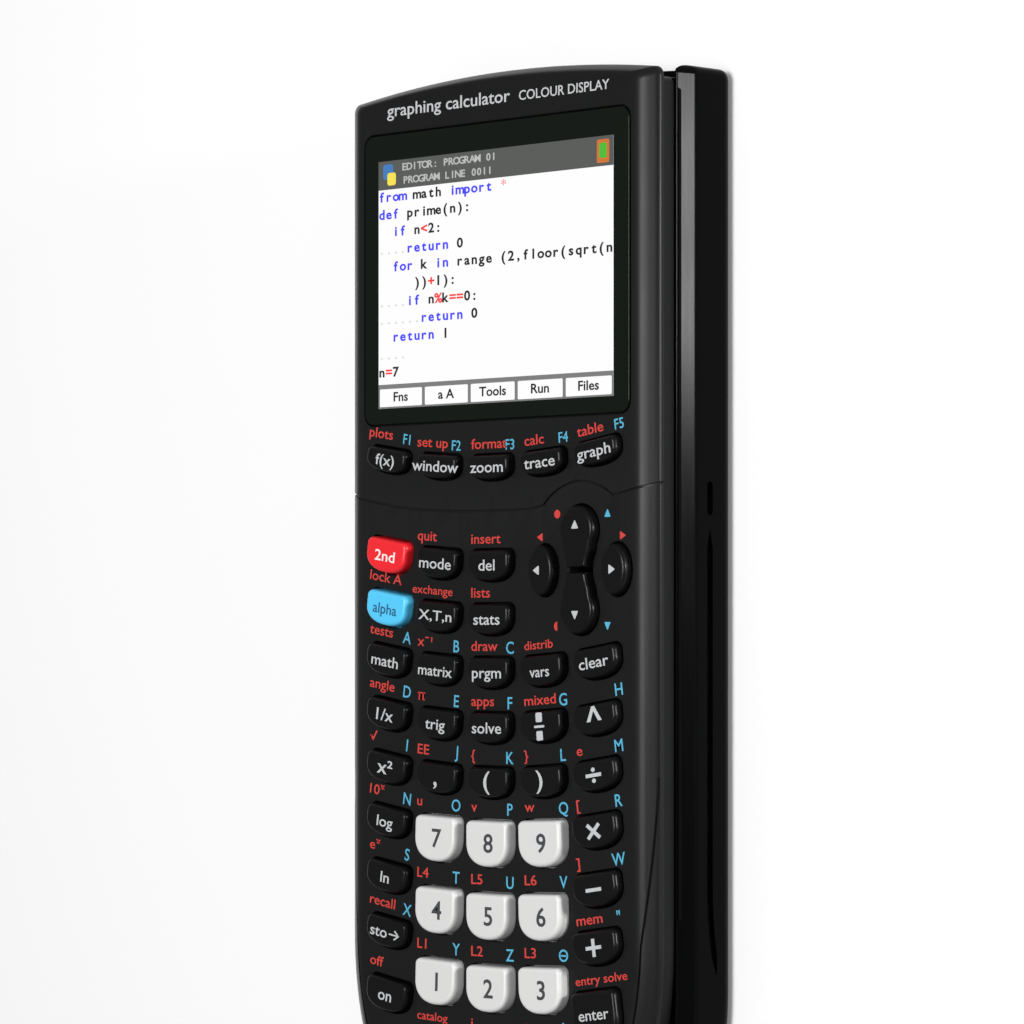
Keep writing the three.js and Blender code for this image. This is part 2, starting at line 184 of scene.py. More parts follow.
finishes = {
    "case": mouldedPlastic("caseGrain", (0.0098, 0.0100, 0.0104), 0.3, edgePaling=0.25, Specular_IOR_Level=0.1),
    "rear": mouldedPlastic("rearGrain", (0.0070, 0.0072, 0.0075), 0.5, edgePaling=0.2, Specular_IOR_Level=0.1),
    "cover": polishedPlastic("coverPolish", (0.0016, 0.0017, 0.0018), 0.09, Specular_IOR_Level=0.03),
    "window": polishedPlastic("windowPolish", (0.0046, 0.0072, 0.0048), 0.06, 0.02, Specular_IOR_Level=0.12),
    "keyBlack": mouldedPlastic("keyBlack", (0.0042, 0.0043, 0.0046), 0.28, depth=0.004, edgePaling=0.25,
                               Specular_IOR_Level=0.16),
    "keyWhite": mouldedPlastic("keyWhite", (0.66, 0.66, 0.655), 0.34, depth=0.003, mottle=0.025),
    "keyRed": mouldedPlastic("keyRed", (0.82, 0.013, 0.022), 0.34, depth=0.003, mottle=0.05),
    "keyBlue": mouldedPlastic("keyBlue", (0.085, 0.56, 0.90), 0.34, depth=0.003, mottle=0.04),
    "inkPale": ink("inkPale", (0.52, 0.53, 0.54)),
    "inkDark": ink("inkDark", (0.045, 0.048, 0.055)),
    "inkWhite": ink("inkWhite", (0.9, 0.86, 0.86)),
    "inkDeepBlue": ink("inkDeepBlue", (0.012, 0.09, 0.2)),
    "inkRed": ink("inkRed", (0.62, 0.045, 0.035)),
    "inkBlue": ink("inkBlue", (0.085, 0.42, 0.62)),
    "screenWhite": lit("screenWhite", (0.98, 0.98, 0.98)),
    "screenGrey": lit("screenGrey", (0.090, 0.096, 0.090)),
    "screenBlack": lit("screenBlack", (0.012, 0.012, 0.012)),
    "screenBlue": lit("screenBlue", (0.055, 0.05, 0.95)),
    "screenRed": lit("screenRed", (0.95, 0.035, 0.03)),
    "screenPale": lit("screenPale", (0.50, 0.52, 0.50)),
    "screenFaint": lit("screenFaint", (0.72, 0.73, 0.68)),
    "screenTab": lit("screenTab", (0.20, 0.20, 0.20)),
    "screenGreen": lit("screenGreen", (0.07, 0.50, 0.03)),
    "screenOrange": lit("screenOrange", (0.62, 0.17, 0.03)),
    "screenYellow": lit("screenYellow", (0.93, 0.76, 0.08)),
    "screenSky": lit("screenSky", (0.05, 0.20, 0.50)),
    "steel": metal("steel", (0.58, 0.59, 0.60), 0.22),
    "screwBlack": metal("screwBlack", (0.06, 0.06, 0.065), 0.3),
    "panel": polishedPlastic("panelGlass", (0.5, 0.52, 0.53), 0.1),
    "board": boardFinish(),
    "silicone": mouldedPlastic("silicone", (0.4, 0.42, 0.43), 0.6, grain=1600, mottle=0.05),
    "battery": mouldedPlastic("batteryWrap", (0.36, 0.38, 0.40), 0.4, grain=700, depth=0.03, mottle=0.08),
}
print("finishes made:", len(finishes))


# Shape helpers, all in millimetres.
def roundedPolygon(corners, steps=6):  # corners are (x, y, radius), anticlockwise
    loop = []
    for i, (x, y, radius) in enumerate(corners):
        here = Vector((x, y))
        back = (Vector(corners[i - 1][:2]) - here).normalized()
        ahead = (Vector(corners[(i + 1) % len(corners)][:2]) - here).normalized()
        half = math.acos(max(-1, min(1, back.dot(ahead)))) / 2
        middle = here + (back + ahead).normalized() * radius / math.sin(half)
        start = here + back * radius / math.tan(half) - middle
        turn = math.pi - 2 * half
        first = math.atan2(start.y, start.x)
        for k in range(steps + 1):
            angle = first + turn * k / steps
            loop.append((middle.x + radius * math.cos(angle), middle.y + radius * math.sin(angle)))
    return loop


def grown(loop, distance):  # the loop moved outwards, anticlockwise
    out = []
    for i, point in enumerate(loop):
        here = Vector(point)
        back = (here - Vector(loop[i - 1])).normalized()
        ahead = (Vector(loop[(i + 1) % len(loop)]) - here).normalized()
        first, second = Vector((back.y, -back.x)), Vector((ahead.y, -ahead.x))
        shift = (first + second) * distance / (1 + first.dot(second))
        out.append((here.x + shift.x, here.y + shift.y))
    return out


def placed(loop, x, y, turn=0.0):
    c, s = math.cos(turn), math.sin(turn)
    return [(x + px * c - py * s, y + px * s + py * c) for px, py in loop]


def rectangle(width, height, corner, x=0.0, y=0.0, steps=6):
    w, h = width / 2, height / 2
    corners = [(-w, -h, corner), (w, -h, corner), (w, h, corner), (-w, h, corner)]
    return placed(roundedPolygon(corners, steps), x, y)


def circle(radius, count=40, x=0.0, y=0.0):
    return [(x + radius * math.cos(2 * math.pi * k / count), y + radius * math.sin(2 * math.pi * k / count))
            for k in range(count)]


def inside(point, loop):
    x, y = point
    hit = False
    for (ax, ay), (bx, by) in zip(loop, loop[1:] + loop[:1]):
        if (ay > y) != (by > y) and x < (bx - ax) * (y - ay) / (by - ay) + ax:
            hit = not hit
    return hit


class Shell:  # points and faces of one piece
    def __init__(self):
        self.points, self.faces = [], []

    def ring(self, loop, z):
        start = len(self.points)
        heights = z if isinstance(z, list) else [z] * len(loop)
        self.points += [(x, y, h) for (x, y), h in zip(loop, heights)]
        return list(range(start, start + len(loop)))

    def bridge(self, *rings):
        for low, high in zip(rings, rings[1:]):
            count = len(low)
            for i in range(count):
                j = (i + 1) % count
                self.faces.append((low[i], low[j], high[j], high[i]))

    def cap(self, ring, up=True):
        self.faces.append(tuple(ring) if up else tuple(reversed(ring)))

    def plane(self, outer, holes=(), up=True):  # a flat face with holes
        loops = [outer, *holes]
        ids = [i for loop in loops for i in loop]
        flat = [Vector(self.points[i][:2]) for i in ids]
        edges, start = [], 0
        owner = []
        for n, loop in enumerate(loops):
            edges += [(start + k, start + (k + 1) % len(loop)) for k in range(len(loop))]
            owner += [n] * len(loop)
            start += len(loop)
        made = delaunay_2d_cdt(flat, edges, [], 1, 1e-7)
        source = [origin[0] for origin in made[3]]
        outlines = [[self.points[i][:2] for i in loop] for loop in loops]
        for face in made[2]:
            corners = [source[v] for v in face]
            owners = {owner[c] for c in corners}
            if len(owners) == 1 and 0 not in owners:
                middle = sum((flat[c] for c in corners), Vector((0, 0))) / len(corners)
                if inside(middle, outlines[owners.pop()]):
                    continue
            real = [ids[c] for c in corners]
            self.faces.append(tuple(real if up else reversed(real)))

    def post(self, loop, low, high):
        self.stack([self.ring(loop, low), self.ring(loop, high)])

    def stack(self, rings):  # rings joined from the lowest to the highest and closed at both ends
        self.bridge(*rings)
        self.cap(rings[0], up=False)
        self.cap(rings[-1])

    def add(self, points, faces):
        start = len(self.points)
        self.points += points
        self.faces += [tuple(start + i for i in face) for face in faces]


def build(name, shell, finish, body="housing", replaces=(), sharp=35, flat=False):
    mesh = bpy.data.meshes.new(name)
    mesh.from_pydata([(x * mm, y * mm, z * mm) for x, y, z in shell.points], [], shell.faces)
    mesh.validate()
    mesh.materials.append(finishes[finish].material)
    piece = bpy.data.objects.new(name, mesh)
    bpy.context.scene.collection.objects.link(piece)
    if not flat:
        smooth(piece, sharp)
    if body:
        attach(piece, body)
    if replaces:
        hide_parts(*replaces)
    return piece


def smooth(piece, sharp=35):
    piece.data.shade_smooth()
    piece.data.set_sharp_from_angle(angle=math.radians(sharp))
    if "even" not in piece.modifiers:
        even = piece.modifiers.new("even", "WEIGHTED_NORMAL")
        even.keep_sharp = True


# Cuts the cutters out of a piece for good.
def carve(piece, *cutters):
    for cutter in cutters:
        tool = build("cutter", cutter, "case", body=None, flat=True)
        outward = bmesh.new()
        outward.from_mesh(tool.data)
        bmesh.ops.recalc_face_normals(outward, faces=outward.faces)
        outward.to_mesh(tool.data)
        outward.free()
        cut = piece.modifiers.new("cut", "BOOLEAN")
        cut.operation, cut.solver, cut.object = "DIFFERENCE", "EXACT", tool
        with bpy.context.temp_override(object=piece, active_object=piece):
            bpy.ops.object.modifier_move_to_index(modifier="cut", index=0)
            bpy.ops.object.modifier_apply(modifier="cut")
        bpy.data.objects.remove(tool)
    piece.data.materials.clear()
    return piece


def paint(piece, finish):
    piece.data.materials.clear()
    piece.data.materials.append(finishes[finish].material)


# Lettering: one text object is measured and its outlines are kept.
writer = bpy.data.objects.new("writer", bpy.data.curves.new("writer", "FONT"))
bpy.context.scene.collection.objects.link(writer)
writer.data.extrude = 0.02
writer.data.resolution_u = 3
written = {}


def glyphs(text, weight):  # points for a size of 1, its left end and baseline at 0
    if (text, weight) not in written:
        writer.data.body = text
        writer.data.offset = weight
        bpy.context.view_layer.update()
        mesh = bpy.data.meshes.new_from_object(writer.evaluated_get(bpy.context.evaluated_depsgraph_get()))
        points, faces = [tuple(v.co) for v in mesh.vertices], [tuple(p.vertices) for p in mesh.polygons]
        written[text, weight] = (points, faces)
        bpy.data.meshes.remove(mesh)
    return written[text, weight]


def write(shell, text, x, y, z, size, turn=0.0, align="middle", stretch=1.0, thick=0.03, weight=0.008):
    points, faces = glyphs(text, 0.0 if text == "*" else weight)
    if not points:
        return
    left, right = min(p[0] for p in points), max(p[0] for p in points)
    anchor = left if align == "left" else (left + right) / 2
    lift = 0.0
    if align == "middle":
        sign = text in "(),.^×÷−+"
        lift = (min(p[1] for p in points) + max(p[1] for p in points)) / 2 if sign else 0.33
    c, s = math.cos(turn), math.sin(turn)
    made = []
    for px, py, pz in points:
        u, v = (px - anchor) * size * stretch, (py - lift) * size
        made.append((x + u * c - v * s, y + u * s + v * c, z + (thick if pz > 0 else -thick)))
    shell.add(made, faces)


# The outline that the case, the cover and the channel between them share.
case = dict(halfWidth=37.5, halfLength=95.6, topArch=264.0, topCorner=1.6, bowlStart=-52.0, bowlPower=2.25,
            face=19.5, parting=16.1, gap=0.3, plate=2.0, wall=1.6, back=4.3, sideStep=1.5, rowArc=172.0)


def bowlOf(width, start, depth, power, steps):  # the round lower end, from left to right
    loop = []
    for k in range(steps + 1):
        a = math.pi * k / steps
        c, s = math.cos(a), max(0.0, math.sin(a))
        loop.append((-width * math.copysign(abs(c) ** (2 / power), c), start - depth * s ** (2 / power)))
    return loop


def caseLoop(side=0.0, top=None, bottom=None, archRadius=case["topArch"], bowlFrom=case["bowlStart"]):
    arch, bowl, corner = 24, 72, 6
    top = side if top is None else top
    bottom = side if bottom is None else bottom
    w = case["halfWidth"] - side
    crown = case["halfLength"] - top
    r = case["topCorner"]
    straight = w - r
    archAt = lambda x: crown - x * x / (2 * archRadius)
    cornerY = archAt(straight) - r
    quarter = [math.pi / 2 * k / corner for k in range(corner + 1)]
    loop = [(straight + r * math.cos(a), cornerY + r * math.sin(a)) for a in quarter]
    loop += [(x, archAt(x)) for x in (straight * (1 - 2 * k / arch) for k in range(1, arch))]
    loop += [(-straight - r * math.sin(a), cornerY + r * math.cos(a)) for a in quarter]
    return loop + bowlOf(w, bowlFrom, bowlFrom + case["halfLength"] - bottom, case["bowlPower"], bowl)


# The keys: their outlines, and where they are.
keyStyles = {  # half width, half height, height of the round lower end
    "small": dict(w=5.1, h=2.15, bowl=2.2),
    "black": dict(w=5.2, h=2.65, bowl=3.0),
    "operator": dict(w=5.3, h=2.9, bowl=3.3),
    "colour": dict(w=5.2, h=3.0, bowl=3.3),
    "digit": dict(w=5.2, h=4.0, bowl=4.3),
    "enter": dict(w=5.3, h=4.5, bowl=4.5),
}
pad = dict(x=21.2, y=10.3, sideAt=8.55, sideWidth=3.1, sideHeight=4.3, lobeAt=6.7, lobe=4.1, waist=6.1,
           split=0.3)


def keyLoop(style):
    s = keyStyles[style]
    w, h, corner = s["w"], s["h"], 1.15
    quarter = [math.pi / 2 * k / 6 for k in range(7)]
    loop = [(w - corner + corner * math.cos(a), h - corner + corner * math.sin(a)) for a in quarter]
    loop += [(corner - w - corner * math.sin(a), h - corner + corner * math.cos(a)) for a in quarter]
    return loop + bowlOf(w, s["bowl"] - h, s["bowl"], 2.3, 40)


def lobeLoop(low=pad["split"]):  # the upper half of the cursor pad's hourglass
    waistAt = lambda y: pad["sideAt"] - math.sqrt(pad["waist"] ** 2 - y * y)
    arc = [-0.55 + (math.pi + 1.1) * k / 26 for k in range(27)]
    loop = [(pad["lobe"] * math.cos(a), pad["lobeAt"] + pad["lobe"] * math.sin(a)) for a in arc]
    levels = [3.0, 2.3, 1.5, 0.8, low]
    return [(waistAt(y), y) for y in reversed(levels)] + loop + [(-waistAt(y), y) for y in levels]


keys = []


def addKey(node, column, row, style, label, above="", letter="", finish="keyBlack", share=1.0):
    x = column * 12.8
    y = row + x * x / (2 * case["rowArc"])
    turn = share * x / case["rowArc"]
    keys.append(dict(node=node, x=x, y=y, turn=turn, style=style, label=label, above=above, letter=letter,
                     finish=finish, column=column))


outerRows = [-7, -16.4, -25.7, -35, -44.7, -54.3]
innerRows = [-7, -16.4, -25.7, -36.1, -48.5, -60.8, -73.1]
for column, (word, label, above, letter) in enumerate([
        ("function", "f(x)", "plots", "F1"), ("window", "window", "set up", "F2"),
        ("zoom", "zoom", "format", "F3"), ("trace", "trace", "calc", "F4"),
        ("graph", "graph", "table", "F5")]):
    addKey("key_" + word, column - 2, 28, "small", label, above, letter)
addKey("key_second", -2, 11.3, "colour", "2nd", finish="keyRed")
addKey("key_mode", -1, 11.3, "black", "mode", "quit")
addKey("key_delete", 0, 11.3, "black", "del", "insert")
addKey("key_alpha", -2, 2.1, "colour", "alpha", "lock A", finish="keyBlue")
addKey("key_variable", -1, 2.1, "black", "X,T,n", "exchange")
addKey("key_statistics", 0, 2.1, "black", "stats", "lists")
for r, row in enumerate([
        [("math", "math", "tests", "A"), ("matrix", "matrix", "x⁻¹", "B"), ("program", "prgm", "draw", "C"),
         ("variables", "vars", "distrib", ""), ("clear", "clear", "", "")],
        [("inverse", "1/x", "angle", "D"), ("trig", "trig", "π", "E"), ("solve", "solve", "apps", "F"),
         ("fraction", "|", "mixed", "G"), ("power", "^", "", "H")],
        [("square", "x²", "√", "I"), ("comma", ",", "EE", "J"), ("left_bracket", "(", "{", "K"),
         ("right_bracket", ")", "}", "L"), ("divide", "÷", "e", "M")]]):
    for column, (word, label, above, letter) in enumerate(row):
        addKey("key_" + word, column - 2, outerRows[r], "black", label, above, letter)
for r, (word, label, above, letter) in enumerate([
        ("log", "log", "10ˣ", "N"), ("ln", "ln", "eˣ", "S"), ("store", "sto→", "recall", "X")]):
    addKey("key_" + word, -2, outerRows[r + 3], "black", label, above, letter)
for r, (word, label, above, letter) in enumerate([
        ("multiply", "×", "[", "R"), ("subtract", "−", "]", "W"), ("add", "+", "mem", "\"")]):
    addKey("key_" + word, 2, outerRows[r + 3], "operator", label, above, letter)
for r, row in enumerate([
        [("7", "u", "O"), ("8", "v", "P"), ("9", "w", "Q")],
        [("4", "L4", "T"), ("5", "L5", "U"), ("6", "L6", "V")],
        [("1", "L1", "Y"), ("2", "L2", "Z"), ("3", "L3", "θ")],
        [("0", "catalog", " "), ("point", "i", ":"), ("negate", "ans", "?")]]):
    for column, (word, above, letter) in enumerate(row):
        label = {"point": ".", "negate": "(−)"}.get(word, word)
        addKey("key_" + word, column - 1, innerRows[r + 3], "digit", label, above, letter, "keyWhite", 0.5)
addKey("key_on", -2, -65.2, "operator", "on", "off")
addKey("key_enter", 2, -65.9, "enter", "enter", "entry solve")
for node, x, y, turn, label in [
        ("key_left", pad["x"] - pad["sideAt"], pad["y"], 0, "◀"),
        ("key_right", pad["x"] + pad["sideAt"], pad["y"], 0, "▶"),
        ("key_up", pad["x"], pad["y"], 0, "▲"), ("key_down", pad["x"], pad["y"], math.pi, "▼")]:
    style = "round" if node in ("key_left", "key_right") else "lobe"
    keys.append(dict(node=node, x=x, y=y, turn=turn, style=style, label=label, finish="keyBlack"))


def outlineOf(key):
    if key["style"] == "round":
        return [(x * pad["sideWidth"], y * pad["sideHeight"]) for x, y in circle(1, 48)]
    if key["style"] == "lobe":
        return lobeLoop()
    return keyLoop(key["style"])


# The front case.
front = dict(
    bevel=[(0.3, -3.1), (0.1, -3.05), (0, -2.9), (0, -2.65), (0.1, -2.25), (0.35, -1.9), (0.8, -1.57),
           (1.5, -1.1),
           (2.1, -0.7), (2.7, -0.39), (3.2, -0.2), (3.7, -0.08), (4.1, -0.02), (4.5, 0)],
    rim=0.22, holeGap=0.25, seat=1.5, recess=(65.4, 51.1, 2.3), opening=(60.0, 45.6, 0.8),
    seam=dict(y=20.6, archX=21.3, archY=12.6, radius=12.5, width=0.45, depth=0.4),
    line=dict(width=0.4, depth=0.32, start=-24.0, inset=3.4, reach=43.0))
windowCentre = 61.5
screenCentre = 60.6


def bevelDrop(inset):
    rows = front["bevel"]
    for (a, za), (b, zb) in zip(rows, rows[1:]):
        if inset <= b:
            return za + (zb - za) * (inset - a) / (b - a) if b > a else zb
    return 0.0


def seamAt(x):
    s = front["seam"]
    plain = s["y"] + 3.9 * (abs(x) / 37.5) ** 2.6
    reach = s["radius"] ** 2 - (x - s["archX"]) ** 2
    return max(plain, s["archY"] + math.sqrt(reach)) if reach > 0 else plain


# A narrow channel that follows the face and its bevel. A stop is (x, y, its floor's height above the face).
def channel(stops, width):
    shell = Shell()
    path = [Vector(s[:2]) for s in stops]
    top = case["face"] + 2
    rings = []
    for i, (x, y, drop) in enumerate(stops):
        along = (path[min(i + 1, len(path) - 1)] - path[max(i - 1, 0)]).normalized()
        side = Vector((along.y, -along.x)) * width / 2
        z = case["face"] + drop
        loop = [(x - side.x, y - side.y), (x + side.x, y + side.y)]
        rings.append(shell.ring(loop + loop[::-1], [z, z, top, top]))
    shell.stack(rings)
    return shell


def seamCutter():
    s = front["seam"]
    xs = [-39, -37.25, -37.2, -36.9, -36.2, -35, -33.5, -31.5] + [-28 + 2.5 * k for k in range(16)]
    xs += [12.2, 12.8, 13.6, 14.6, 15.8, 17.2, 18.8, 20.5, 22.2, 23.8, 25.4, 26.8, 28.1, 28.6]
    xs += [30, 31.5, 33.5, 35, 36.2, 36.9, 37.2, 37.25, 39]
    stops = []
    for x in xs:
        inset = case["halfWidth"] - abs(x)
        drop = bevelDrop(inset) - s["depth"] if inset > 0.28 else -6
        stops.append((x, seamAt(x), drop))
    return channel(stops, s["width"])


def lineCutter():
    s = front["line"]
    half, start, low = case["halfWidth"], s["start"], case["bowlStart"]
    power = 2 / case["bowlPower"]
    flank, bowl = [], []
    for k in range(19):
        inset = 0.3 + (s["inset"] - 0.9) * (k / 18) ** 1.6
        flank.append((half - inset, start + (low - start) * k / 18, inset))
    for k in range(1, 72):
        a = math.pi * k / 72
        c, sn = math.cos(a), math.sin(a)
        inset = s["inset"] - 0.6 * max(0.0, 1 - sn * 3)
        x = (half - inset) * math.copysign(abs(c) ** power, c)
        bowl.append((x, low - (s["reach"] - inset * 0.55) * sn ** power, inset))
    otherFlank = [(-x, y, inset) for x, y, inset in reversed(flank)]
    stops = [(x, y, bevelDrop(inset) - s["depth"]) for x, y, inset in flank + bowl + otherFlank]
    return channel(stops, s["width"])


def frontCase():
    shell = Shell()
    face, under = case["face"], case["face"] - case["plate"]
    low = case["parting"] + case["gap"]
    inner = caseLoop(case["wall"])
    innerTop, innerLow = shell.ring(inner, under), shell.ring(inner, low)
    outer = [shell.ring(caseLoop(side, side * 0.4, side * 0.5), face + drop) for side, drop in front["bevel"]]
    shell.bridge(innerTop, innerLow, *outer)
    topHoles, underHoles = [], []
    lobe = lobeLoop(0.0)
    upper = [p for p in lobe if p[1] > 0.001]
    pads = placed(upper, pad["x"], pad["y"]) + placed(upper, pad["x"], pad["y"], math.pi)
    outlines = [placed(outlineOf(k), k["x"], k["y"], k["turn"]) for k in keys
                if k["style"] != "lobe" and k["node"] != "key_right"] + [pads]
    for loop in outlines:
        hole = grown(loop, front["holeGap"])
        rim = front["rim"]
        rings = [shell.ring(grown(hole, rim * grow), z) for grow, z in
                 [(1, face), (0.35, face - rim * 0.25), (0, face - rim), (0, under)]]
        shell.bridge(*rings)
        topHoles.append(rings[0])
        underHoles.append(rings[-1])
    width, height, corner = front["recess"]
    recess = rectangle(width, height, corner, y=windowCentre)
    opening = rectangle(*front["opening"], y=screenCentre)
    seat = face - front["seat"]
    rings = [shell.ring(grown(recess, 0.15), face), shell.ring(recess, face - 0.15), shell.ring(recess, seat),
             shell.ring(opening, seat), shell.ring(opening, under)]
    shell.bridge(*rings)
    shell.plane(outer[-1], topHoles + [rings[0]])
    shell.plane(innerTop, underHoles + [rings[-1]], up=False)
    piece = build("frontCase", shell, "case", replaces=["front_case"], sharp=40)
    socket = Shell()
    socket.post(rectangle(8.7, 14, 1.0, 20, 95.4), 11.5, 16.9)
    edgeHole = Shell()  # the right arrow's hole reaches into the bevel
    rightKey = next(k for k in keys if k["node"] == "key_right")
    loop = grown(placed(outlineOf(rightKey), rightKey["x"], rightKey["y"]), front["holeGap"])
    rings = [edgeHole.ring(grown(loop, grow), z) for z, grow in
             [(under - 1, 0), (face - 0.25, 0), (face, 0.2), (face + 1, 0.2)]]
    edgeHole.stack(rings)
    carve(piece, seamCutter(), lineCutter(), socket, edgeHole)
    paint(piece, "case")
    smooth(piece, 40)


frontCase()
print("front case made")


# The key caps and their labels. A flange is the cap's hidden foot under the face.
caps = dict(rise=1.5, digitRise=1.8, flange=0.6, flangeDepth=0.28)
labels = dict(word=(2.7, 1.32, 0.0), digit=(4.5, 1.1, 0.1), digitShift=0.7, lobeShift=0.8, ink=0.03,
              arrow=[(-0.65, -0.85, 0.12), (0.85, 0, 0.12), (-0.65, 0.85, 0.12)])


def keyPiece(key):
    shell = Shell()
    loop = placed(outlineOf(key), key["x"], key["y"], key["turn"])
    face = case["face"]
    under = face - case["plate"] - case["gap"]
    top = face + caps["digitRise" if key["style"] == "digit" else "rise"]
    key["top"] = top
    profile = [(caps["flange"], under - caps["flangeDepth"]), (caps["flange"], under), (0, under),
               (-0.06, top - 1.0), (-0.14, top - 0.55), (-0.27, top - 0.27), (-0.45, top - 0.1),
               (-0.65, top - 0.025), (-0.85, top)]
    shell.stack([shell.ring(grown(loop, grow), z) for grow, z in profile])
    node, finish = key["node"], key["finish"]
    build(node + "_cap", shell, finish, node, [node], sharp=50)


marks = {  # size, stretch and lift of the labels that are not plain words
    "^": (6.2, 1.3, 0.9), ",": (4.8, 1.2, -1.2), "(": (4.2, 1.4, 0.0), ")": (4.2, 1.4, 0.0),
    "÷": (6.2, 1.2, 0.0), "×": (6.2, 1.2, 0.0), "−": (6.2, 1.2, 0.0), "+": (6.2, 1.2, 0.0),
    ".": (6.5, 1.2, 0.0), "(−)": (3.6, 1.3, 0.0),
    "x²": (3.5, 1.35, 0.2), "1/x": (3.0, 1.3, 0.0), "X,T,n": (2.5, 1.5, 0.2), "vars": (2.6, 1.1, -0.2),
    "enter": (2.7, 1.2, 0.5), "alpha": (2.6, 1.15, 0.0), "on": (2.9, 1.2, 0.0), "matrix": (2.6, 1.25, -0.2)}


def keyLabel(key):
    shell = Shell()
    label, style = key["label"], key["style"]
    inks = {"keyWhite": "inkDark", "keyRed": "inkWhite", "keyBlue": "inkDeepBlue"}
    finish = inks.get(key["finish"], "inkPale")
    x, y, turn, z = key["x"], key["y"], key["turn"], key["top"]
    low, high = z - labels["ink"], z + labels["ink"]
    if style == "lobe":
        y += (pad["lobeAt"] + labels["lobeShift"]) * math.cos(turn)
        turn = 0
    if label in ("◀", "▶", "▲", "▼"):
        heading = {"▶": 0, "▲": 1, "◀": 2, "▼": 3}[label] * math.pi / 2
        x -= 0.6 if label == "◀" else 0
        shell.post(placed(roundedPolygon(labels["arrow"], 2), x, y, heading), low, high)
    elif label == "|":
        for shift in (-1.55, 1.55):
            shell.post(placed(rectangle(1.5, 1.6, 0.25, y=shift), x, y, turn), low, high)
        shell.post(placed(rectangle(2.4, 0.4, 0.1), x, y, turn), low, high)
    elif style == "digit":
        size, stretch, lift = marks.get(label, labels["digit"])
        write(shell, label, x + labels["digitShift"], y + lift, z, size, turn, stretch=stretch, weight=0.014)
    else:
        size, stretch, lift = marks.get(label, labels["word"])
        write(shell, label, x, y + lift, z, size, turn, stretch=stretch)
    build(key["node"] + "_label", shell, finish, key["node"], flat=True)


for key in keys:
    keyPiece(key)
    keyLabel(key)
print("keys made:", len(keys))


# The legends printed on the face.
legend = dict(size=2.45, stretch=1.3, letterSize=2.95, z=19.5, gap=1.5,
              start={-2: -6.2, -1: -6.3, 0: -5.3, 1: -4.8, 2: -4.8},
              letterAt={-2: 3.5, -1: 3.5, 0: 4.2, 1: 4.5, 2: 5.1})


def faceLegends():
    red, blue = Shell(), Shell()
    low, high = legend["z"] - labels["ink"], legend["z"] + labels["ink"]
    for key in keys:
        if key["style"] in ("round", "lobe"):
            continue
        column, above = key["column"], key["above"]
        rise = keyStyles[key["style"]]["h"] + legend["gap"]
        rise += 0.35 if column == -2 else 0
        rise += 0.3 if key["style"] == "digit" else 0
        c, s = math.cos(key["turn"]), math.sin(key["turn"])
        spot = lambda u, v: (key["x"] + u * c - v * s, key["y"] + u * s + v * c)
        if above:
            x, y = spot(legend["start"][column] - (1.3 if above == "exchange" else 0), rise - 0.4)
            long = 0.86 if len(above) > 6 else 1
            write(red, above, x, y, legend["z"], legend["size"] * long, key["turn"], "left",
                  legend["stretch"])
        if key["letter"]:
            x, y = spot(legend["letterAt"][column], rise + (0.7 if key["letter"] == "J" else 0.1))
            small = 0.85 if len(key["letter"]) > 1 else 1
            letter = key["letter"].replace("θ", "O")
            write(blue, letter, x, y, legend["z"], legend["letterSize"] * small, key["turn"])
            if key["letter"] == "θ":
                blue.post(rectangle(1.3, 0.3, 0.05, x, y, 2), low, high)
    mark = roundedPolygon([(-0.7, -0.75, 0.1), (0.7, 0, 0.1), (-0.7, 0.75, 0.1)], 2)
    for sign in (-1, 1):
        x, y = pad["x"] - 5.6, pad["y"] + sign * 9.4
        if sign > 0:
            red.post(circle(0.72, 20, x, y), low, high)
        else:
            red.post([point for point in circle(0.78, 20, x, y) if point[0] < x + 0.01], low, high)
        blue.post(placed(mark, pad["x"] + 6.2, pad["y"] + sign * 9.4, sign * math.pi / 2), low, high)
        red.post(placed(mark, pad["x"] + sign * 9.8, pad["y"] + 5.6, 0 if sign > 0 else math.pi), low, high)
    build("legendsRed", red, "inkRed", flat=True)
    build("legendsBlue", blue, "inkBlue", flat=True)
    title = Shell()
    write(title, "graphing calculator", -26.6, 89.9, legend["z"], 3.1, align="left", stretch=1.3)
    write(title, "COLOUR DISPLAY", 6.4, 89.9, legend["z"], 2.35, align="left", stretch=1.12)
    build("titleLine", title, "inkPale", flat=True)


faceLegends()
print("legends made")


# The display and its window.
display = dict(width=57.6, height=43.2, top=19.5, cell=1.8, pitch=3.06, size=2.35, stretch=1.3,
               firstLine=75.9)


def displayWindow():
    shell = Shell()
    top = display["top"]
    plate = rectangle(64.8, 50.5, 2.0, y=windowCentre)
    rings = [shell.ring(grown(plate, grow), z) for grow, z in
             [(0, top - 1.2), (0, top - 0.2), (-0.06, top - 0.07), (-0.2, top)]]
    shell.stack(rings)
    build("windowPlate", shell, "window", replaces=["display_window"], sharp=50)


def sheet(name, width, height, x, y, level, finish, corner=0.05):  # a lit area on the window
    shell = Shell()
    z = display["top"] + level
    shell.post(rectangle(width, height, corner, x, y, 2), z - 0.01, z)
    build(name, shell, finish, flat=True)


